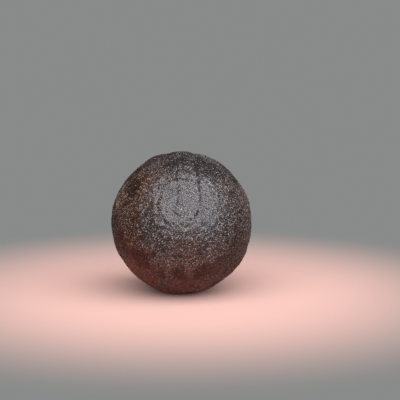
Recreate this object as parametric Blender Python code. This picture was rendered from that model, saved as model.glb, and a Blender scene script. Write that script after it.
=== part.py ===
# A moqui marble: one ball of sandstone cemented by iron oxide, resting on a small flat spot.
# The origin is the middle of the flat spot, +Z is up, and the stone's front faces -Y.
# Lengths are in metres. Directions are given from the ball's centre, as an azimuth that
# turns from the front towards +X and an elevation above the equator, both in degrees.

import bmesh
import bpy
import numpy as np

MM = 0.001

BALL_RADIUS = 21.0 * MM
CENTRE_HEIGHT = 21.1 * MM
REST_RIM_SOFTNESS = 0.10 * MM
CELLS_PER_SIDE = 28
# Edges that turn by more degrees than this stay sharp, such as the flat spot's rim.
SHARP_ABOVE = 8

# Round swells (height above 0) and worn flats (below 0).
# azimuth, elevation, reach in degrees, height
SWELLS = [
    (0, -90, 32, 0.65 * MM),
    (-112, 65, 7, 0.50 * MM),
    (111, 64, 7, 0.16 * MM),
    (83, -35, 14, 0.38 * MM),
    (90, -3, 13, -0.24 * MM),
    (98, 37, 11, -0.26 * MM),
    (-100, 45, 11, -0.22 * MM),
    (-84, -30, 14, -0.10 * MM),
    (-92, 12, 5, 0.12 * MM),
    (150, 28, 22, 0.30 * MM),
    (-150, -8, 24, -0.34 * MM),
    (-172, -42, 16, 0.28 * MM),
    (128, -24, 13, -0.22 * MM),
    (-128, 30, 15, 0.24 * MM),
    (178, 12, 10, -0.20 * MM),
    (-40, -32, 16, 0.16 * MM),
    (30, -38, 18, -0.14 * MM),
]

# Low cushions with a flat top and a clear edge, which turn the ball slightly lumpy.
# azimuth, elevation, half width and half height in degrees, height
CUSHIONS = [
    (-14, 24, 11, 23, 0.16 * MM),
    (26, 23, 10, 22, 0.14 * MM),
    (-52, 2, 15, 12, 0.10 * MM),
    (62, 14, 13, 17, 0.10 * MM),
    (140, -2, 17, 11, 0.14 * MM),
    (-118, -30, 16, 12, 0.14 * MM),
    (-165, 34, 12, 17, 0.16 * MM),
    (108, -52, 15, 10, 0.12 * MM),
]

# Shallow round pits. azimuth, elevation, radius in degrees, depth
PITS = [
    (-62, 27, 5.0, 0.16 * MM),
    (-70, -12, 4.5, 0.12 * MM),
    (118, 6, 5.5, 0.22 * MM),
    (-140, 10, 4.5, 0.20 * MM),
    (165, -22, 6.0, 0.24 * MM),
    (-175, -62, 5.0, 0.18 * MM),
    (48, -58, 4.5, 0.14 * MM),
]

# A raised band runs from the front over the crown and down the back.
# It is wider and higher at the crown, and a groove follows each of its edges.
BAND_FRONT_END = (6, 20)
BAND_OVER_CROWN = (-176, 80)
BAND_LENGTH = 118
BAND_HALF_WIDTH_FRONT = 8.6
BAND_HALF_WIDTH_CROWN = 10.0
BAND_HEIGHT_FRONT = 0.20 * MM
BAND_HEIGHT_CROWN = 0.40 * MM
GROOVE_REACH = 2.4
GROOVE_DEPTH_RIGHT = 0.16 * MM
GROOVE_DEPTH_LEFT = 0.08 * MM

CRUST_COLOUR = (0.060, 0.042, 0.036, 1.0)
CRUST_ROUGHNESS = 0.55
CRUST_METALLIC = 0.0


def direction(azimuth, elevation):
    """The unit vector that points at a place on the stone."""
    turn, lift = np.radians((azimuth, elevation))
    return np.array(
        (np.sin(turn) * np.cos(lift), -np.cos(turn) * np.cos(lift), np.sin(lift))
    )


def angle_from(points, place):
    """How far each unit vector is from a place, in degrees."""
    return np.degrees(np.arccos(np.clip(points @ place, -1, 1)))


def swell_relief(points):
    relief = np.zeros(len(points))
    for azimuth, elevation, reach, height in SWELLS:
        away = angle_from(points, direction(azimuth, elevation))
        relief += height * np.exp(-((away / reach) ** 2))
    return relief


def cushion_relief(points):
    """A flat-topped bump: its height falls with the fourth power of the way out."""
    relief = np.zeros(len(points))
    for azimuth, elevation, half_width, half_height, height in CUSHIONS:
        middle = direction(azimuth, elevation)
        east = direction(azimuth + 90, 0)
        north = np.cross(middle, east)
        across = np.degrees(points @ east) / half_width
        upward = np.degrees(points @ north) / half_height
        near_side = points @ middle > 0
        relief += near_side * height * np.exp(-((across**2 + upward**2) ** 2))
    return relief


def pit_relief(points):
    relief = np.zeros(len(points))
    for azimuth, elevation, radius, depth in PITS:
        away = angle_from(points, direction(azimuth, elevation)) / radius
        relief -= depth * np.exp(-(away**4))
    return relief


def band_relief(points):
    """A rounded ridge along an arc of a great circle, with a groove beside each edge."""
    start = direction(*BAND_FRONT_END)
    crown = direction(*BAND_OVER_CROWN)
    side = np.cross(start, crown)
    side /= np.linalg.norm(side)
    ahead = np.cross(side, start)
    crown_at = np.degrees(np.arctan2(crown @ ahead, crown @ start))
    along = np.degrees(np.arctan2(points @ ahead, points @ start))
    off_line = np.degrees(np.arcsin(np.clip(points @ side, -1, 1)))
    past_end = np.maximum(np.maximum(-along, along - BAND_LENGTH), 0)
    away = np.hypot(off_line, past_end)
    climb = np.clip(along / crown_at, 0, 1)
    half_width = BAND_HALF_WIDTH_FRONT + climb * (
        BAND_HALF_WIDTH_CROWN - BAND_HALF_WIDTH_FRONT
    )
    height = BAND_HEIGHT_FRONT + climb * (BAND_HEIGHT_CROWN - BAND_HEIGHT_FRONT)
    ridge = height * np.clip(1 - (away / half_width) ** 2, 0, 1)
    on_right = off_line < 0
    depth = np.where(on_right, GROOVE_DEPTH_RIGHT, GROOVE_DEPTH_LEFT)
    fade = 1 - np.clip((along - crown_at) / (BAND_LENGTH - crown_at), 0, 1)
    groove = depth * fade * np.exp(-(((away - half_width) / GROOVE_REACH) ** 2))
    return ridge * np.sqrt(fade) - groove


def radius_at(points):
    """The stone's radius in each direction, from the ball's centre."""
    return (
        BALL_RADIUS
        + swell_relief(points)
        + cushion_relief(points)
        + pit_relief(points)
        + band_relief(points)
    )


def settle(heights):
    """Presses whatever reaches below the ground up to it, with a softly rounded rim."""
    over_rim = (heights + REST_RIM_SOFTNESS) ** 2 / (4 * REST_RIM_SOFTNESS)
    settled = np.where(heights > REST_RIM_SOFTNESS, heights, over_rim)
    return np.where(heights < -REST_RIM_SOFTNESS, 0, settled)


def blow_up_cube(bm):
    """Makes bm a cube of even cells, then moves each corner out onto the stone's surface."""
    bmesh.ops.create_cube(bm, size=2)
    bmesh.ops.subdivide_edges(
        bm, edges=bm.edges[:], cuts=CELLS_PER_SIDE - 1, use_grid_fill=True
    )
    corners = np.tan(np.array([vert.co for vert in bm.verts]) * np.pi / 4)
    points = corners / np.linalg.norm(corners, axis=1, keepdims=True)
    places = points * radius_at(points)[:, None]
    places[:, 2] = settle(places[:, 2] + CENTRE_HEIGHT)
    for vert, place in zip(bm.verts, places):
        vert.co = place


def join_rest_spot(bm):
    """Makes one flat face of the cells that the ground has pressed flat."""
    pressed = [face for face in bm.faces if all(vert.co.z == 0 for vert in face.verts)]
    bmesh.ops.dissolve_faces(bm, faces=pressed, use_verts=True)
    bmesh.ops.recalc_face_normals(bm, faces=bm.faces[:])


def crust_material():
    material = bpy.data.materials.new("iron_crust")
    material.use_nodes = True
    shader = material.node_tree.nodes["Principled BSDF"]
    shader.inputs["Base Color"].default_value = CRUST_COLOUR
    shader.inputs["Roughness"].default_value = CRUST_ROUGHNESS
    shader.inputs["Metallic"].default_value = CRUST_METALLIC
    return material


def make_marble():
    mesh = bpy.data.meshes.new("moqui_marble")
    bm = bmesh.new()
    blow_up_cube(bm)
    join_rest_spot(bm)
    bm.to_mesh(mesh)
    bm.free()
    mesh.shade_smooth()
    mesh.set_sharp_from_angle(angle=np.radians(SHARP_ABOVE))
    mesh.materials.append(crust_material())
    marble = bpy.data.objects.new("moqui_marble", mesh)
    bpy.context.scene.collection.objects.link(marble)
    return marble


for leftover in list(bpy.data.objects):
    bpy.data.objects.remove(leftover)
make_marble()
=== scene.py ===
import bpy
import numpy as np
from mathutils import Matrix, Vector


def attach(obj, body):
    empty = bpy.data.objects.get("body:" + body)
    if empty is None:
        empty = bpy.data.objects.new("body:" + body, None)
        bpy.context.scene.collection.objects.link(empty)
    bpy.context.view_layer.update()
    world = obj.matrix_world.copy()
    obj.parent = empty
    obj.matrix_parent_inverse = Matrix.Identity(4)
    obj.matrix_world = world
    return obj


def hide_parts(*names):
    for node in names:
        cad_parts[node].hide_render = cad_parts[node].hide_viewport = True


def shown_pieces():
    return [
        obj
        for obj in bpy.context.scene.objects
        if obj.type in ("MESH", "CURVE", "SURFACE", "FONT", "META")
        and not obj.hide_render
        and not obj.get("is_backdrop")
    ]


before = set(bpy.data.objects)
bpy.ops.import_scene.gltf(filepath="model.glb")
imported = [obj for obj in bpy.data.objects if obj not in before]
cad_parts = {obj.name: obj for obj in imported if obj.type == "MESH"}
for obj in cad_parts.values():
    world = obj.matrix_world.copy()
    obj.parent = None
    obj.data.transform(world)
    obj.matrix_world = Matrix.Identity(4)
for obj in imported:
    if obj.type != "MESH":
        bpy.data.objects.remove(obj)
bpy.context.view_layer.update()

mm = 0.001

# the ball's own swells, cushions, pits and band, the same as the solid's
# a place is its azimuth, from the front towards +X, and its elevation, in degrees
ballShape = {
    "radius": 21.0 * mm,
    "centreHeight": 21.1 * mm,
    "rimSoftness": 0.10 * mm,
    "swells": [  # azimuth, elevation, reach in degrees, height
        (0, -90, 32, 0.65 * mm),
        (-112, 65, 7, 0.50 * mm),
        (111, 64, 7, 0.16 * mm),
        (83, -35, 14, 0.38 * mm),
        (90, -3, 13, -0.24 * mm),
        (98, 37, 11, -0.26 * mm),
        (-100, 45, 11, -0.22 * mm),
        (-84, -30, 14, -0.10 * mm),
        (-92, 12, 5, 0.12 * mm),
        (150, 28, 22, 0.30 * mm),
        (-150, -8, 24, -0.34 * mm),
        (-172, -42, 16, 0.28 * mm),
        (128, -24, 13, -0.22 * mm),
        (-128, 30, 15, 0.24 * mm),
        (178, 12, 10, -0.20 * mm),
        (-40, -32, 16, 0.16 * mm),
        (30, -38, 18, -0.14 * mm),
    ],
    "cushions": [  # azimuth, elevation, half width, half height, height
        (-14, 24, 11, 23, 0.16 * mm),
        (26, 23, 10, 22, 0.14 * mm),
        (-52, 2, 15, 12, 0.10 * mm),
        (62, 14, 13, 17, 0.10 * mm),
        (140, -2, 17, 11, 0.14 * mm),
        (-118, -30, 16, 12, 0.14 * mm),
        (-165, 34, 12, 17, 0.16 * mm),
        (108, -52, 15, 10, 0.12 * mm),
    ],
    "pits": [  # azimuth, elevation, radius in degrees, depth
        (-62, 27, 5.0, 0.16 * mm),
        (-70, -12, 4.5, 0.12 * mm),
        (118, 6, 5.5, 0.22 * mm),
        (-140, 10, 4.5, 0.20 * mm),
        (165, -22, 6.0, 0.24 * mm),
        (-175, -62, 5.0, 0.18 * mm),
        (48, -58, 4.5, 0.14 * mm),
    ],
    "bandFrontEnd": (6, 20),
    "bandOverCrown": (-176, 80),
    "bandLength": 118,
    "bandHalfWidths": (8.6, 10.0),  # at the front, at the crown
    "bandHeights": (0.20 * mm, 0.40 * mm),
    "grooveReach": 2.4,
    "grooveDepths": (0.16 * mm, 0.08 * mm),  # right, left
}


def unit(azimuth, elevation):  # the direction of a place, from the ball's centre
    turn, lift = np.radians((azimuth, elevation))
    return np.array((np.sin(turn) * np.cos(lift), -np.cos(turn) * np.cos(lift), np.sin(lift)))


def awayFrom(points, place):  # the angle between each direction and a place, in degrees
    return np.degrees(np.arccos(np.clip(points @ unit(*place), -1, 1)))


# swell: its height times e to the power of minus (angle / reach) squared
def swellRelief(points):
    relief = np.zeros(len(points))
    for azimuth, elevation, reach, height in ballShape["swells"]:
        relief += height * np.exp(-((awayFrom(points, (azimuth, elevation)) / reach) ** 2))
    return relief


# cushion: its height times e to the power of minus the fourth power of the way out, so its top is flat
def cushionRelief(points):
    relief = np.zeros(len(points))
    for azimuth, elevation, halfWidth, halfHeight, height in ballShape["cushions"]:
        middle, east = unit(azimuth, elevation), unit(azimuth + 90, 0)
        across = np.degrees(points @ east) / halfWidth
        upward = np.degrees(points @ np.cross(middle, east)) / halfHeight
        shape = np.exp(-((across**2 + upward**2) ** 2))
        relief += (points @ middle > 0) * height * shape
    return relief


# pit: its depth times e to the power of minus (angle / radius) to the fourth
def pitRelief(points):
    relief = np.zeros(len(points))
    for azimuth, elevation, radius, depth in ballShape["pits"]:
        relief -= depth * np.exp(-((awayFrom(points, (azimuth, elevation)) / radius) ** 4))
    return relief


# band: its height times one minus (angle off its line / half width) squared, along a great circle
# a groove follows each edge, a narrow dip that fades out down the back
def bandRelief(points):
    start, crown = unit(*ballShape["bandFrontEnd"]), unit(*ballShape["bandOverCrown"])
    side = np.cross(start, crown)
    side /= np.linalg.norm(side)
    ahead = np.cross(side, start)
    crownAt = np.degrees(np.arctan2(crown @ ahead, crown @ start))
    along = np.degrees(np.arctan2(points @ ahead, points @ start))
    offLine = np.degrees(np.arcsin(np.clip(points @ side, -1, 1)))
    length = ballShape["bandLength"]
    pastEnd = np.maximum(np.maximum(-along, along - length), 0)
    away = np.hypot(offLine, pastEnd)
    climb = np.clip(along / crownAt, 0, 1)
    halfWidth = np.interp(climb, (0, 1), ballShape["bandHalfWidths"])
    height = np.interp(climb, (0, 1), ballShape["bandHeights"])
    ridge = height * np.clip(1 - (away / halfWidth) ** 2, 0, 1)
    right, left = ballShape["grooveDepths"]
    fade = 1 - np.clip((along - crownAt) / (length - crownAt), 0, 1)
    dip = np.exp(-(((away - halfWidth) / ballShape["grooveReach"]) ** 2))
    return ridge * np.sqrt(fade) - np.where(offLine < 0, right, left) * fade * dip


# the ball's radius, plus the height of every form that lies in a direction
def radiusAt(points):
    forms = swellRelief(points) + cushionRelief(points) + pitRelief(points)
    return ballShape["radius"] + forms + bandRelief(points)


# the ground presses what reaches below it up to zero, over a rim that bends as a parabola
def settle(heights, softness):
    overRim = (heights + softness) ** 2 / (4 * softness)
    return np.where(heights > softness, heights, np.where(heights < -softness, 0, overRim))


# relief that is too fine for the solid: waves, arcs in the crust, creases and small hollows
crustRelief = {
    "seed": 11,
    "waves": [  # length, height
        (7.0 * mm, 0.045 * mm),
        (3.0 * mm, 0.026 * mm),
        (1.5 * mm, 0.016 * mm),
        (0.9 * mm, 0.012 * mm),
    ],
    "wavesEach": 40,
    "arcsRound": (-2.3, 27.3),
    "arcSpacing": 3.1 * mm,
    "arcsFrom": 4.0 * mm,
    "arcsTo": 14.0 * mm,
    "arcFades": (1.0 * mm, 3.0 * mm),  # over what length, at the inner and the outer end
    "arcHeight": 0.04 * mm,
    "arcBend": (0.5 * mm, 9.0 * mm, 12),  # how far, the length of its wave, and how many waves
    "under": 0.095 * mm,  # how far the cement lies below the solid, which its grains come near
    "creaseSeed": 12,
    "creaseWaves": 16,
    "creaseWander": (0.10 * mm, 3.2 * mm),  # how far, and the length of its wave
    "creaseStrength": (0.9, 0.35, 2.4 * mm),  # middle, spread, and the length of its wave
    "creaseStrengthWithin": (0.35, 1.5),
    "creases": [  # half width, depth, places along it
        (0.31 * mm, 0.19 * mm, [(27, 64), (22, 55), (19, 44), (18, 37), (17, 29), (15, 22), (13, 17)]),
        (0.32 * mm, 0.06 * mm, [(13, 17), (10, 13), (5, 11), (1, 12.5)]),
        (0.30 * mm, 0.20 * mm, [(1, 12.5), (-2, 15), (-6.5, 18)]),
        (0.25 * mm, 0.11 * mm, [(-6.5, 18), (-4, 25), (-3, 31), (-4, 38), (-6, 47), (-7, 54)]),
        (0.40 * mm, 0.045 * mm, [(38, 45), (38, 36), (36, 27), (33, 20), (27, 11)]),
        (0.40 * mm, 0.03 * mm, [(-23, 42), (-28, 35), (-28, 26), (-26, 18), (-23, 9)]),
        (0.36 * mm, 0.12 * mm, [(95, 30), (102, 18), (104, 4), (99, -10), (90, -20)]),
        (0.36 * mm, 0.13 * mm, [(150, 48), (160, 36), (162, 20), (156, 6), (146, -4)]),
        (0.40 * mm, 0.11 * mm, [(-150, 40), (-142, 26), (-146, 10), (-158, -2), (-172, -8)]),
        (0.34 * mm, 0.12 * mm, [(-100, 4), (-112, -6), (-126, -10), (-140, -20), (-150, -34)]),
        (0.38 * mm, 0.10 * mm, [(128, -34), (142, -42), (160, -44), (178, -40)]),
    ],
    "hollows": 300,
    "hollowRadii": (0.40 * mm, 0.9 * mm),
    "hollowDepths": (0.02 * mm, 0.08 * mm),
    "hollowParts": 12,
}


# waves: a sum of cosines that run in random directions, which never repeats
def waves(points, length, count, rng):
    along = rng.normal(size=(count, 3))
    along *= 2 * np.pi / length / np.linalg.norm(along, axis=1, keepdims=True)
    start = rng.uniform(0, 2 * np.pi, count)
    return np.cos(points @ along.T + start).sum(axis=1) * np.sqrt(2 / count)


# the distance from a line through places, in metres: the least of those from its straight parts
def awayFromLine(points, places):
    corners = np.array([unit(*place) for place in places])
    nearest = np.full(len(points), np.inf)
    for start, step in zip(corners[:-1], np.diff(corners, axis=0)):
        along = np.clip((points - start) @ step / (step @ step), 0, 1)
        offLine = np.linalg.norm(points - start - along[:, None] * step, axis=1)
        nearest = np.minimum(nearest, offLine)
    return nearest * ballShape["radius"]


# how far the creases and hollows go in: e to the power of minus (distance / width) squared
def creaseDepth(points):
    look = crustRelief
    rng = np.random.default_rng(look["creaseSeed"])
    onBall = points * ballShape["radius"]
    far, length = look["creaseWander"]
    wander = far * waves(onBall, length, look["creaseWaves"], rng)
    middle, spread, length = look["creaseStrength"]
    strength = middle + spread * waves(onBall, length, look["creaseWaves"], rng)
    strength = np.clip(strength, *look["creaseStrengthWithin"])
    depth = np.zeros(len(points))
    for halfWidth, deep, places in look["creases"]:
        away = awayFromLine(points, places) + wander
        depth = np.maximum(depth, deep * strength * np.exp(-((away / halfWidth) ** 2)))
    middles = rng.normal(size=(look["hollows"], 3))
    middles /= np.linalg.norm(middles, axis=1, keepdims=True)
    radii = rng.uniform(*look["hollowRadii"], look["hollows"])
    depths = rng.uniform(*look["hollowDepths"], look["hollows"])
    # in parts, so that the table of points by hollows stays small
    for part in np.array_split(np.arange(len(points)), look["hollowParts"]):
        squared = 2 * (1 - points[part] @ middles.T) * ballShape["radius"] ** 2
        depth[part] += (depths * np.exp(-squared / radii**2)).sum(axis=1)
    return depth


# fine relief: four sizes of waves and the arcs, less the creases and hollows
# arcs: a cosine of the way from their middle, bent by a slow wave and faded at both ends
def fineRelief(points):
    look = crustRelief
    rng = np.random.default_rng(look["seed"])
    onBall = points * ballShape["radius"]
    relief = -creaseDepth(points) - look["under"]
    for length, height in look["waves"]:
        relief += height * waves(onBall, length, look["wavesEach"], rng)
    away = np.radians(awayFrom(points, look["arcsRound"])) * ballShape["radius"]
    far, length, count = look["arcBend"]
    away += far * waves(onBall, length, count, rng)
    start, end = look["arcsFrom"], look["arcsTo"]
    fadeIn, fadeOut = look["arcFades"]
    fade = np.interp(away, (start - fadeIn, start, end - fadeOut, end), (0, 1, 1, 0))
    return relief + look["arcHeight"] * fade * np.cos(2 * np.pi * away / look["arcSpacing"])


# where the crust is red, brown, worn, tan and so on, each from 0 to 1; the red and the brown are partly
# painted warm bounce light, the dusk patches are painted shade and the sprinkled patch is partly painted
# light
crustZones = {
    "seed": 21,
    "clouds": [(0.07, 16 * mm, 16), (0.03, 5 * mm, 24)],  # height, length and number of waves
    "cloudDegrees": 30,  # how far a cloud of height 1 moves the edge of a patch
    # the red towards the bottom is partly the crust's own red and partly painted warm bounce light from
    # below, and it reaches higher on the left
    "redBelow": (0.15, -0.98),  # heights in ball radii where the red starts and is full
    "redTilt": 0.16,  # how much lower that is, for each ball radius towards the right
    # the brown on the left is partly painted warm bounce light
    "brownLeftOf": (-0.10, -0.55),  # ball radii to the right, where it starts and is full
    "brownRightOf": (0.40, 1.0),
    "brownAtRight": 0.7,
    "brownInPaintedShade": 0.15,
    "lessBrownInRed": 0.6,
    "wornBelow": (-0.16, -0.72),  # heights in ball radii
    # patches: azimuth, elevation, how far off it starts and is full, in degrees
    "rubbed": [(0, 21, 46, 16)],
    # sprinkled: more pale and polished grains and less red below the middle of the front, partly painted
    # light where the key light falls
    "sprinkledAndPaintedLight": [(3, -13, 25, 12)],
    # dusk patches: painted shade, darker and browner with fewer pale grains, over the crown, the sides
    # and low on the front
    "paintedShade": [
        (98, 58, 44, 12), (45, 56, 19, 8), (-30, 72, 18, 8), (-82, 62, 26, 8), (-56, 38, 12, 3),
        (-105, 48, 40, 12), (-150, 80, 36, 12), (64, -29, 42, 10), (100, -14, 40, 12),
        (-36, -20, 13, 3), (-86, -10, 38, 12), (-5, -36, 10, 2), (22, -35, 11, 3), (-62, -13, 15, 5),
    ],
    "lessRedInSprinkled": 0.1,
    "lessWornInSprinkled": 0.7,
    "tanMost": 0.7,
    "tanSpots": [  # azimuth, elevation, reach in degrees
        (-72, 19, 5), (-75, 33, 4), (-63, 26, 3), (118, 40, 6), (-158, -24, 7), (165, 60, 5),
    ],
    "tanRagged": (1.3, 2.5 * mm, 24),  # degrees the edge strays, length and number of its waves
    "tanCore": 0.4,  # where the tan is full, times the spot's reach
}


def smooth(values, low, high):  # from 0 at low to 1 at high, level at both ends
    part = np.clip((values - low) / (high - low), 0, 1)
    return part * part * (3 - 2 * part)


# zone: a smooth step of height, of the way to the right or of the angle from a place
# clouds, which are sums of waves, make its edge wander
def zones(points):
    look = crustZones
    rng = np.random.default_rng(look["seed"])
    onBall = points * ballShape["radius"]
    cloud = sum(height * waves(onBall, length, count, rng) for height, length, count in look["clouds"])
    # red: partly painted warm bounce light from below
    redAndPaintedBounce = smooth(points[:, 2] + look["redTilt"] * points[:, 0] + cloud, *look["redBelow"])
    # brown: partly painted warm bounce light on the left
    brownAndPaintedBounce = smooth(points[:, 0] + cloud, *look["brownLeftOf"])
    brownAndPaintedBounce += look["brownAtRight"] * smooth(points[:, 0] + cloud, *look["brownRightOf"])
    worn = smooth(points[:, 2] + cloud, *look["wornBelow"])
    patches = {label: np.zeros(len(points)) for label in ("rubbed", "sprinkledAndPaintedLight", "paintedShade")}
    for label in patches:
        for azimuth, elevation, start, full in look[label]:
            away = awayFrom(points, (azimuth, elevation)) + look["cloudDegrees"] * cloud
            patches[label] = np.maximum(patches[label], smooth(away, start, full))
    # less red in the sprinkled patch, which is partly painted light
    redAndPaintedBounce = redAndPaintedBounce * (1 - look["lessRedInSprinkled"] * patches["sprinkledAndPaintedLight"])
    worn = worn * (1 - look["lessWornInSprinkled"] * patches["sprinkledAndPaintedLight"])
    # the dusk patches, which are painted shade, are browner as well
    brownAndPaintedBounce = np.minimum(brownAndPaintedBounce + look["brownInPaintedShade"] * patches["paintedShade"], 1)
    brownAndPaintedBounce *= 1 - look["lessBrownInRed"] * redAndPaintedBounce
    tan = np.zeros(len(points))
    far, length, count = look["tanRagged"]
    ragged = far * waves(onBall, length, count, rng)
    for azimuth, elevation, reach in look["tanSpots"]:
        away = awayFrom(points, (azimuth, elevation)) + ragged
        tan = np.maximum(tan, smooth(away, reach, reach * look["tanCore"]))
    tan *= look["tanMost"]
    return {"redAndPaintedBounce": redAndPaintedBounce, "brownAndPaintedBounce": brownAndPaintedBounce, "worn": worn, "tan": tan, **patches}


# cube net: six square grids, as lattice points with both coordinates of each from 0 to cells
# the third axis is fixed at 0 or cells, and the shared edges are merged by their lattice place
def cubeNet(cells):
    across, upward = np.meshgrid(np.arange(cells + 1), np.arange(cells + 1))
    lattice = []
    for axis in range(3):
        for side in (0, cells):
            face = np.empty((cells + 1, cells + 1, 3), int)
            turns = ((axis + 1) % 3, (axis + 2) % 3)
            first, second = turns if side else turns[::-1]
            face[..., axis] = side
            face[..., first] = across
            face[..., second] = upward
            lattice.append(face.reshape(-1, 3))
    lattice, merged = np.unique(np.concatenate(lattice), axis=0, return_inverse=True)
    merged = merged.reshape(6, cells + 1, cells + 1)
    corners = (merged[:, :-1, :-1], merged[:, :-1, 1:], merged[:, 1:, 1:], merged[:, 1:, :-1])
    return lattice, np.stack(corners, axis=-1).reshape(-1, 4)


# the cube net's map: its six grids side by side, three across and two up
def cubeNetMap(cells, gap=0.006):
    across, upward = np.meshgrid(np.arange(cells), np.arange(cells))
    steps = np.array(((0, 0), (1, 0), (1, 1), (0, 1)))
    square = (np.stack((across, upward), axis=-1)[..., None, :] + steps) / cells
    sheets = []
    for face in range(6):
        corner = np.array((face % 3, face // 3))
        sheets.append((corner + gap + square * (1 - 2 * gap)) / (3, 2))
    return np.stack(sheets).reshape(-1, 2)


# a mesh from whole arrays, with its map and with the values that the material reads at each vertex
def newPiece(name, vertices, faces, placesOnMap, floats, smoothShaded):
    mesh = bpy.data.meshes.new(name)
    sides = faces.shape[1]
    mesh.vertices.add(len(vertices))
    mesh.vertices.foreach_set("co", vertices.astype(np.float32).ravel())
    mesh.loops.add(faces.size)
    mesh.loops.foreach_set("vertex_index", faces.astype(np.int32).ravel())
    mesh.polygons.add(len(faces))
    mesh.polygons.foreach_set("loop_start", np.arange(0, faces.size, sides, dtype=np.int32))
    mesh.update(calc_edges=True)
    mesh.polygons.foreach_set("use_smooth", np.full(len(faces), smoothShaded))
    mesh.uv_layers.new(name="OFBake").data.foreach_set("uv", placesOnMap.astype(np.float32).ravel())
    for label, values in floats.items():
        layer = mesh.attributes.new(label, "FLOAT", "POINT")
        layer.data.foreach_set("value", np.asarray(values, np.float32).ravel())
    mesh.validate()
    piece = bpy.data.objects.new(name, mesh)
    bpy.context.scene.collection.objects.link(piece)
    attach(piece, "root")
    return piece


# the cement between the grains
crustSkin = {
    "cells": 127,  # along each edge of the cube net
    "tone": 0.16,  # from 0, dark, to 1, pale
    "mostTone": 0.5,
    "toneFromHeight": 1.2 / mm,  # how much paler it is, for each metre of height
    "creaseTone": 3.5 / mm,  # how much darker it and its grains are, for each metre of depth
    "creaseGlossDepth": 0.07 * mm,  # the depth at which the gloss has fallen to 37%
    # painted shade: in a dusk patch the cement and its grains are darker by this much
    "paintedShadeTone": 0.30,  # how much darker it and its grains are in a dusk patch
}


# skin: the cube net as a ball of even cells, by the tangent of each lattice place, then each corner
# moved out to the radius there plus the fine relief
def makeSkin():
    cells = crustSkin["cells"]
    lattice, faces = cubeNet(cells)
    corners = np.tan((lattice / cells * 2 - 1) * np.pi / 4)
    points = corners / np.linalg.norm(corners, axis=1, keepdims=True)
    fine = fineRelief(points)
    places = points * (radiusAt(points) + fine)[:, None]
    places[:, 2] = settle(places[:, 2] + ballShape["centreHeight"], ballShape["rimSoftness"])
    height = fine + crustRelief["under"]
    zone = zones(points)
    tone = crustSkin["tone"] + crustSkin["toneFromHeight"] * height
    tone = np.clip(tone, 0, crustSkin["mostTone"])
    # painted shade: darker in the dusk patches
    tone -= crustSkin["paintedShadeTone"] * zone["paintedShade"]
    floats = crustFloats(zone, tone, np.ones(len(points)), creaseDepth(points))
    skin = newPiece("crust", places, faces, cubeNetMap(cells), floats, smoothShaded=True)
    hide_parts("moqui_marble")
    return skin


# from 1 on open ground to 0 deep in a crease: e to the power of minus depth / creaseGlossDepth
def openness(deep):
    return np.exp(-deep / crustSkin["creaseGlossDepth"])


# what the material reads: tone and gloss, both lower in creases, and three of the zones
def crustFloats(zone, tone, gloss, deep):
    layers = {label: zone[label] for label in ("redAndPaintedBounce", "brownAndPaintedBounce", "tan")}
    tone = np.clip(tone - crustSkin["creaseTone"] * deep, 0, 1)
    return {"tone": tone, "gloss": gloss * openness(deep), **layers}


# sand grains that stand out of the crust, in a few pieces
sandGrains = {
    "seed": 5,
    "pieces": {"polished": (9200, 9200), "dull": (8400, 8400), "matt": (8400,)},  # grains in each
    "radius": 0.215 * mm,
    "sizes": (0.70, 1.35),  # smallest and largest, times the radius
    "shift": 0.30,  # how far a grain strays, in grain spacings
    "tilt": 6.2,  # degrees, of most grains
    "looseTilt": 22,  # degrees, of the loose ones
    "looseShare": 0.10,
    "fewerLooseRubbed": 0.5,
    "uneven": (0.13, 0.13, 0.04),  # how far a corner strays sideways, forward and outward
    "sunk": (0.0, 0.40),  # times the grain's size
    "sunkWhereWorn": 0.25,
    "sunkInCreases": 0.50,
    "tone": (0.32, 0.18),  # middle and spread
    "lessSpreadRubbed": 0.4,  # how much less the tone varies there
    "lessSpreadRed": 0.2,
    "gloss": (0.35, 1.0),
}

# the light ones among them, which come in clusters and in pale spots, some of which are painted glints
# and painted sheen
lightGrains = {
    "share": 0.10,
    "size": 0.80,  # times that of another grain
    "tone": (0.52, 1.0),
    "clusterSize": 2.0 * mm,
    "clusterWaves": 30,
    "clusters": 0.8,
    "fullestCluster": 3,  # times the share
    # fewer light grains in the dusk patches too, as part of their painted shade
    "fewer": {"worn": 0.6, "brownAndPaintedBounce": 0.4, "paintedShade": 0.6, "rubbed": 0.5, "redAndPaintedBounce": 0.45},
    "fewerAtRight": 0.5,
    "rightFrom": (0.4, 0.9),  # in ball radii, where the right starts and is full
    "sprinkledShare": 0.20,
    # pale spots: some are painted glints and painted sheen where the light catches the grains
    "paleSpotsAndPaintedGlints": [  # azimuth, elevation, reach in degrees, share of light grains
        (-35, 58, 2.5, 0.45), (6, 57, 2.5, 0.4), (-38, 34, 2.5, 0.3), (-60, 45, 6, 0.28),
        (-45, 50, 4, 0.35), (-46, 19, 2.5, 0.3), (6, -3, 7, 0.38), (48, 36, 9, 0.25),
        (58, 40, 6, 0.4), (44, -5, 2.5, 0.45), (25, -20, 3.5, 0.45), (-17, -27, 3.5, 0.38),
        (-1, -18, 3.5, 0.4), (-26, -31, 3.5, 0.35), (10, -52, 3, 0.35), (28, -42, 3, 0.35),
        (56, 33, 2.5, 0.4), (-69, 29, 2.5, 0.4), (-54, 25, 2.5, 0.4), (140, 20, 3.5, 0.4),
        (-120, 20, 3.5, 0.4), (-160, 8, 2.5, 0.4), (170, -20, 3.5, 0.4), (110, -8, 2.5, 0.4),
    ],
    "spotCore": 0.6,  # where the share is full, times the spot's reach
}

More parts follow.
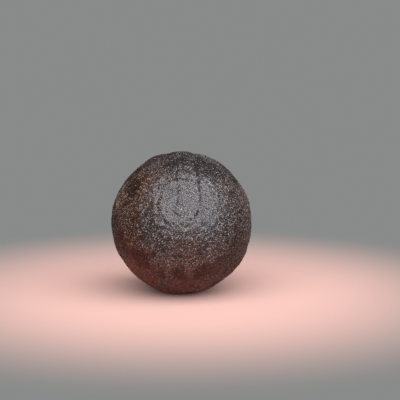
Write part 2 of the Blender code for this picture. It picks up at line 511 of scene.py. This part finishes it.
# what makes a grain dull: the polished ones have the least of it, and the matt ones the most
grainDullness = {
    "zones": {"brownAndPaintedBounce": 1.0, "redAndPaintedBounce": 1.8, "paintedShade": 0.8, "rubbed": -0.8, "sprinkledAndPaintedLight": -0.2},
    "inCrease": 2.5,
    "light": 0.5,
    "ragged": 0.25,  # how far chance moves a grain over the line between two kinds
}

# one grain, in its own sizes, and where its rings lie on its map
grainForm = {
    "sides": 5,
    "pointHeight": -0.60,
    "waistHeight": -0.10,
    "lidHeight": 0.60,
    "lidRadius": 0.78,
    "mapRadii": (0.34, 0.20, 0.49),  # waist, lid, tips of the underside's petals
}


# the rings' turns: those of the waist, and those of the lid half a side further on
def ringTurns():
    sides = grainForm["sides"]
    turns = np.radians(360 / sides) * np.arange(sides)
    return turns, turns + np.radians(180 / sides)


# grain: a point in the ground, a ring of corners at its waist, and a smaller ring round a flat lid
def grainShape():
    look = grainForm
    level = np.ones(look["sides"])
    waistTurns, lidTurns = ringTurns()
    waist = np.stack((np.cos(waistTurns), np.sin(waistTurns), look["waistHeight"] * level), axis=1)
    lid = look["lidRadius"] * np.stack((np.cos(lidTurns), np.sin(lidTurns)), axis=1)
    lid = np.column_stack((lid, look["lidHeight"] * level))
    corners = np.concatenate((((0, 0, look["pointHeight"]),), waist, lid))
    step = np.arange(look["sides"])
    after = (step + 1) % look["sides"]
    first = 1 + look["sides"]  # of the lid's corners
    under = np.stack((0 * step, 1 + after, 1 + step), axis=1)
    lower = np.stack((1 + step, 1 + after, first + step), axis=1)
    upper = np.stack((first + step, 1 + after, first + after), axis=1)
    fan = np.arange(1, look["sides"] - 1)
    top = np.stack((first + 0 * fan, first + fan, first + fan + 1), axis=1)
    return corners, np.concatenate((under, lower, upper, top))


# the grain's map: its lid in the middle, its sides round it, and its underside as petals
def grainMap():
    waistTurns, lidTurns = ringTurns()
    waistReach, lidReach, tipReach = grainForm["mapRadii"]
    waist = waistReach * np.stack((np.cos(waistTurns), np.sin(waistTurns)), axis=1)
    lid = lidReach * np.stack((np.cos(lidTurns), np.sin(lidTurns)), axis=1)
    tips = tipReach * np.stack((np.cos(lidTurns), np.sin(lidTurns)), axis=1)
    _, faces = grainShape()
    places = np.concatenate((((0, 0),), waist, lid))[faces]
    places[: len(tips), 0] = tips
    return places + 0.5  # from the middle of its cell


# the surface's normals, from how the fine relief climbs over a short step either way
def reliefNormals(points, reach=0.12 * mm):
    sideways = np.cross(points, (0.31, 0.23, 0.92))  # any direction that no grain lies in
    sideways /= np.linalg.norm(sideways, axis=1, keepdims=True)
    here = fineRelief(points)
    normals = points.copy()
    for direction in (sideways, np.cross(points, sideways)):
        near = points + direction * reach / ballShape["radius"]
        near /= np.linalg.norm(near, axis=1, keepdims=True)
        normals -= direction * ((fineRelief(near) - here) / reach)[:, None]
    return normals / np.linalg.norm(normals, axis=1, keepdims=True)


# Fibonacci lattice: even steps in height and a turn by the golden angle each time, then a stray
def scatterGrains(total, rng):
    step = np.arange(total)
    height = 1 - (2 * step + 1) / total
    turn = step * np.pi * (3 - np.sqrt(5))
    points = np.stack((np.cos(turn), np.sin(turn), height), axis=1)
    points[:, :2] *= np.sqrt(1 - height**2)[:, None]
    spacing = np.sqrt(4 * np.pi / total)
    points += rng.normal(size=points.shape) * spacing * sandGrains["shift"]
    return points / np.linalg.norm(points, axis=1, keepdims=True)


# the chance that a grain is a light one, from the zones, the clusters and the pale spots
def lightShares(points, zone, rng):
    look = lightGrains
    onBall = points * ballShape["radius"]
    cluster = waves(onBall, look["clusterSize"], look["clusterWaves"], rng)
    clump = np.clip(1 + look["clusters"] * cluster, 0, look["fullestCluster"])
    share = look["share"] * clump
    for label, fewer in look["fewer"].items():
        share *= 1 - fewer * zone[label]
    share *= 1 - look["fewerAtRight"] * smooth(points[:, 0], *look["rightFrom"])
    # more light grains in the sprinkled patch, which is partly painted light
    share = np.maximum(share, look["sprinkledShare"] * clump * zone["sprinkledAndPaintedLight"])
    # pale spots, some of them painted glints and painted sheen
    for azimuth, elevation, reach, spotShare in look["paleSpotsAndPaintedGlints"]:
        spot = smooth(awayFrom(points, (azimuth, elevation)), reach, look["spotCore"] * reach)
        share = np.maximum(share, spotShare * spot)
    return share


# tone: a spread round the middle, narrower where rubbed or red, and lower in the dusk patches, which are
# painted shade
# a light grain has one of its own range instead, mostly near the low end
def grainTones(zone, light, rng):
    middle, spread = sandGrains["tone"]
    for label, less in (("rubbed", "lessSpreadRubbed"), ("redAndPaintedBounce", "lessSpreadRed")):
        spread = spread * (1 - sandGrains[less] * zone[label])
    tone = middle + spread * rng.normal(size=len(light)) - crustSkin["paintedShadeTone"] * zone["paintedShade"]
    low, high = lightGrains["tone"]
    return np.where(light, low + (high - low) * rng.uniform(size=len(light)) ** 2, tone)


# corner: its place in the form times the grain's size, along the grain's own axes, from the ground up
# each grain has its own uneven corners, its own turn about the normal, its own tilt and depth
def grainPlaces(points, size, zone, deep, rng):
    look = sandGrains
    total = len(points)
    shape, _ = grainShape()
    corners = shape * (1 + np.array(look["uneven"]) * rng.normal(size=(total, len(shape), 3)))
    looseShare = look["looseShare"] * (1 - look["fewerLooseRubbed"] * zone["rubbed"])
    loose = rng.uniform(size=total) < looseShare
    tilt = np.radians(np.where(loose, look["looseTilt"], look["tilt"]))[:, None]
    outward = reliefNormals(points) + rng.normal(size=points.shape) * tilt
    outward /= np.linalg.norm(outward, axis=1, keepdims=True)
    sideways = np.cross(outward, rng.normal(size=points.shape))
    sideways /= np.linalg.norm(sideways, axis=1, keepdims=True)
    axes = np.stack((sideways, np.cross(outward, sideways), outward), axis=1)
    corners = np.einsum("gcx,gxy->gcy", corners * size[:, None, None], axes)
    sunk = rng.uniform(*look["sunk"], total) + look["sunkWhereWorn"] * zone["worn"]
    sunk += look["sunkInCreases"] * (1 - openness(deep))
    ground = radiusAt(points) + fineRelief(points) - sunk * size
    places = corners + (points * ground[:, None])[:, None, :]
    places[..., 2] = settle(places[..., 2] + ballShape["centreHeight"], ballShape["rimSoftness"])
    return places


# the grains from the most polished to the most matt, with ragged lines between the kinds
def polishedFirst(zone, light, deep, rng):
    look = grainDullness
    dullness = look["inCrease"] * (1 - openness(deep)) + look["light"] * light
    for label, amount in look["zones"].items():
        dullness += amount * zone[label]
    return np.argsort(dullness + look["ragged"] * rng.normal(size=len(light)))


# one piece of many grains: their maps lie side by side in a square of cells
def joinGrains(name, places, floats):
    count, perGrain = places.shape[:2]
    _, faces = grainShape()
    perSide = int(np.ceil(np.sqrt(count)))
    cell = np.stack((np.arange(count) % perSide, np.arange(count) // perSide), axis=1)
    faces = perGrain * np.arange(count)[:, None, None] + faces
    onMap = (cell[:, None, None, :] + grainMap()) / perSide
    floats = {label: np.repeat(values, perGrain) for label, values in floats.items()}
    vertices, faces = places.reshape(-1, 3), faces.reshape(-1, 3)
    newPiece(name, vertices, faces, onMap.reshape(-1, 2), floats, smoothShaded=False)


# every grain at once, then dealt out to the pieces
def makeGrains():
    look = sandGrains
    rng = np.random.default_rng(look["seed"])
    points = scatterGrains(sum(sum(counts) for counts in look["pieces"].values()), rng)
    zone, deep = zones(points), creaseDepth(points)
    share = lightShares(points, zone, rng)
    light = rng.uniform(size=len(points)) < share
    tone = grainTones(zone, light, rng)
    size = look["radius"] * rng.uniform(*look["sizes"], len(points))
    size *= np.where(light, lightGrains["size"], 1)
    places = grainPlaces(points, size, zone, deep, rng)
    floats = crustFloats(zone, tone, rng.uniform(*look["gloss"], len(points)), deep)
    order = polishedFirst(zone, light, deep, rng)
    for kind, counts in look["pieces"].items():
        for number, count in enumerate(counts):
            mine, order = order[:count], order[count:]
            mineFloats = {label: values[mine] for label, values in floats.items()}
            joinGrains(f"{kind}_grains_{number + 1}", places[mine], mineFloats)


# a new node with its sockets set by name, each to a value or to a link from another node
def addNode(tree, kind, sockets=None, **settings):
    node = tree.nodes.new(kind)
    for key, value in settings.items():
        setattr(node, key, value)
    for key, value in (sockets or {}).items():
        if isinstance(value, bpy.types.NodeSocket):
            tree.links.new(value, node.inputs[key])
        else:
            node.inputs[key].default_value = value
    return node


# the colours from dark through middle to pale follow the tone, and the zones tint them; the red and
# brown tints are partly painted warm bounce light
ironCrust = {
    "darkColour": (0.0055, 0.0030, 0.0021, 1),
    "middleColour": (0.0205, 0.0119, 0.0095, 1),
    "paleColour": (0.192, 0.154, 0.140, 1),
    "paleBrown": (0.185, 0.138, 0.098, 1),
    "paleRed": (0.165, 0.108, 0.090, 1),
    "paleFrom": 0.45,  # the tone where a grain begins to be pale
    # red and brown tints: partly painted warm bounce light, the red from below and the brown on the left
    "redAndBounceTint": (3.22, 0.73, 0.24, 1),
    "brownAndBounceTint": (1.66, 1.01, 0.52, 1),
    "tanColour": (0.12, 0.064, 0.034, 1),
    "grainRoughness": (0.35, 0.19),  # dull grain, glossy grain
    "polishedIor": 1.62,
    "dullIor": 1.33,
    "mattIor": 1.22,
    "cementRoughness": (0.75, 0.34),  # in a crease, elsewhere
    "cementIor": 1.35,
    "speckleSize": 0.45 * mm,
    "speckle": 0.22,  # how far it moves the tone either way
    "gritSize": 0.16 * mm,
    "gritHeight": 0.012 * mm,
    "gritStrength": 0.5,
    "noiseDetail": 2.0,
}


# the Mix node's colour sockets share their names with its other ones, so they go by number
def mixColours(tree, factor, first, second, way="MIX"):
    node = addNode(tree, "ShaderNodeMix", data_type="RGBA", blend_type=way)
    for socket, value in zip((node.inputs[0], node.inputs[6], node.inputs[7]), (factor, first, second)):
        if isinstance(value, bpy.types.NodeSocket):
            tree.links.new(value, socket)
        else:
            socket.default_value = value
    return node.outputs[2]


def addNoise(tree, where, size):
    sockets = {"Vector": where, "Scale": 1 / size, "Detail": ironCrust["noiseDetail"]}
    return addNode(tree, "ShaderNodeTexNoise", sockets).outputs["Fac"]


# a fine noise speckles the tone, a finer one is the grit, and gloss takes the roughness from dull
# to glossy
def crustMaterial(label, ior, roughness):
    look = ironCrust
    material = bpy.data.materials.new(label)
    material.use_nodes = True
    tree = material.node_tree
    shader = tree.nodes["Principled BSDF"]
    where = addNode(tree, "ShaderNodeTexCoord").outputs["Object"]
    layer = {}
    for key in ("tone", "gloss", "redAndPaintedBounce", "brownAndPaintedBounce", "tan"):
        layer[key] = addNode(tree, "ShaderNodeAttribute", attribute_name=key).outputs["Fac"]
    speckle = addNoise(tree, where, look["speckleSize"])
    offset = addNode(
        tree,
        "ShaderNodeMath",
        {0: speckle, 1: 2 * look["speckle"], 2: -look["speckle"]},
        operation="MULTIPLY_ADD",
    )
    tone = addNode(tree, "ShaderNodeMath", {0: layer["tone"], 1: offset.outputs[0]}, operation="ADD")
    depth = addNode(tree, "ShaderNodeMapRange", {"Value": tone.outputs[0], "From Max": look["paleFrom"]})
    pale = addNode(tree, "ShaderNodeMapRange", {"Value": tone.outputs[0], "From Min": look["paleFrom"]})
    colour = mixColours(tree, depth.outputs[0], look["darkColour"], look["middleColour"])
    # partly painted warm bounce light: the brown and red zones tint the colour
    colour = mixColours(tree, layer["brownAndPaintedBounce"], colour, look["brownAndBounceTint"], "MULTIPLY")
    colour = mixColours(tree, layer["redAndPaintedBounce"], colour, look["redAndBounceTint"], "MULTIPLY")
    colour = mixColours(tree, layer["tan"], colour, look["tanColour"])
    # the pale grains take the same tints
    paleHere = mixColours(tree, layer["brownAndPaintedBounce"], look["paleColour"], look["paleBrown"])
    paleHere = mixColours(tree, layer["redAndPaintedBounce"], paleHere, look["paleRed"])
    colour = mixColours(tree, pale.outputs[0], colour, paleHere)
    tree.links.new(colour, shader.inputs["Base Color"])
    dull, glossy = roughness
    ends = {"Value": layer["gloss"], "To Min": dull, "To Max": glossy}
    rough = addNode(tree, "ShaderNodeMapRange", ends)
    tree.links.new(rough.outputs[0], shader.inputs["Roughness"])
    shader.inputs["IOR"].default_value = ior
    grit = addNoise(tree, where, look["gritSize"])
    bump = addNode(
        tree,
        "ShaderNodeBump",
        {"Height": grit, "Strength": look["gritStrength"], "Distance": look["gritHeight"]},
    )
    tree.links.new(bump.outputs["Normal"], shader.inputs["Normal"])
    return material


# a pale warm floor, which fades out all round into the grey of the backdrop
studio = {
    "floorReach": 0.5,
    "floorBelow": 0.05 * mm,  # under the rest spot, so that the two faces don't share a plane
    "floorColour": (0.40, 0.240, 0.200, 1),
    "floorRoughness": 0.9,
    "floorSpecular": 0.1,
    "fadeFrom": 0.03,
    "fadeTo": 0.11,
    "backdropColour": (0.252, 0.258, 0.255, 1),
    "fillColour": (0.125, 0.130, 0.130, 1),
    "keyAzimuth": 13.9,
    "keyElevation": 43.6,
    "keyDistance": 0.9,
    "keySize": (2.62, 1.94),
    "keyWatts": 88.0,
    "keyColour": (0.93, 0.96, 1.03),
}


def makeFloor():
    reach = studio["floorReach"]
    corners = np.array(((-1, -1, 0), (1, -1, 0), (1, 1, 0), (-1, 1, 0))) * reach
    corners[:, 2] = -studio["floorBelow"]
    mesh = bpy.data.meshes.new("floor")
    mesh.from_pydata(corners.tolist(), [], [(0, 1, 2, 3)])
    floor = bpy.data.objects.new("floor", mesh)
    bpy.context.scene.collection.objects.link(floor)
    material = bpy.data.materials.new("floor")
    material.use_nodes = True
    tree = material.node_tree
    shader = tree.nodes["Principled BSDF"]
    where = addNode(tree, "ShaderNodeTexCoord").outputs["Object"]
    length = addNode(tree, "ShaderNodeVectorMath", {0: where}, operation="LENGTH")
    ends = {"From Min": studio["fadeFrom"], "From Max": studio["fadeTo"], "To Min": 1.0, "To Max": 0.0}
    fade = addNode(
        tree,
        "ShaderNodeMapRange",
        {"Value": length.outputs["Value"], **ends},
        interpolation_type="SMOOTHSTEP",
    )
    tree.links.new(fade.outputs[0], shader.inputs["Alpha"])
    shader.inputs["Base Color"].default_value = studio["floorColour"]
    shader.inputs["Roughness"].default_value = studio["floorRoughness"]
    shader.inputs["Specular IOR Level"].default_value = studio["floorSpecular"]
    mesh.materials.append(material)
    floor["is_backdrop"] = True


def makeLights():
    world = bpy.data.worlds.new("studio")
    world.use_nodes = True
    # the backdrop is what the camera sees, and a dimmer fill is what lights the stone
    seen = addNode(world.node_tree, "ShaderNodeLightPath").outputs["Is Camera Ray"]
    colour = mixColours(world.node_tree, seen, studio["fillColour"], studio["backdropColour"])
    world.node_tree.links.new(colour, world.node_tree.nodes["Background"].inputs["Color"])
    bpy.context.scene.world = world
    light = bpy.data.lights.new("key", "AREA")
    light.shape = "RECTANGLE"
    light.size, light.size_y = studio["keySize"]
    light.energy = studio["keyWatts"]
    light.color = studio["keyColour"]
    key = bpy.data.objects.new("key", light)
    towards = Vector(unit(studio["keyAzimuth"], studio["keyElevation"]))
    key.location = Vector((0, 0, ballShape["centreHeight"])) + towards * studio["keyDistance"]
    key.rotation_euler = towards.to_track_quat("Z", "Y").to_euler()
    bpy.context.scene.collection.objects.link(key)


# the stone's middle falls at a chosen pixel of a square picture
cameraView = {
    "elevation": 10,
    "distance": 0.42,
    "pictureSide": 400,
    "metresPerPixel": 0.2996 * mm,
    "centrePixel": (181.75, 222.3),
    "clip": (0.01, 30),
}


def makeCamera():
    look = cameraView
    camera = bpy.data.objects.new("camera", bpy.data.cameras.new("camera"))
    bpy.context.scene.collection.objects.link(camera)
    middle = Vector((0, 0, ballShape["centreHeight"]))
    back = Vector(unit(0, look["elevation"]))
    rightward = Vector((1, 0, 0))
    upward = back.cross(rightward)
    half = look["pictureSide"] / 2
    offX = (half - look["centrePixel"][0]) * look["metresPerPixel"]
    offY = (look["centrePixel"][1] - half) * look["metresPerPixel"]
    aim = middle + rightward * offX + upward * offY
    camera.location = middle + back * look["distance"]
    camera.rotation_euler = (camera.location - aim).to_track_quat("Z", "Y").to_euler()
    width = look["pictureSide"] * look["metresPerPixel"]
    camera.data.lens = camera.data.sensor_width * look["distance"] / width
    camera.data.clip_start, camera.data.clip_end = look["clip"]
    bpy.context.scene.camera = camera


makeCamera()
makeFloor()
makeLights()
bpy.context.scene.view_settings.view_transform = "Standard"
print("camera, floor and lights are placed")

skin = makeSkin()
print("the crust has", len(skin.data.polygons), "faces")
makeGrains()
print("the sand grains are on")

finishes = {
    "polished": crustMaterial("polished_grain", ironCrust["polishedIor"], ironCrust["grainRoughness"]),
    "dull": crustMaterial("dull_grain", ironCrust["dullIor"], ironCrust["grainRoughness"]),
    "matt": crustMaterial("matt_grain", ironCrust["mattIor"], ironCrust["grainRoughness"]),
    "crust": crustMaterial("iron_cement", ironCrust["cementIor"], ironCrust["cementRoughness"]),
}
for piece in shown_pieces():
    piece.data.materials.clear()
    piece.data.materials.append(finishes[piece.name.split("_")[0]])
print("the crust materials are on")
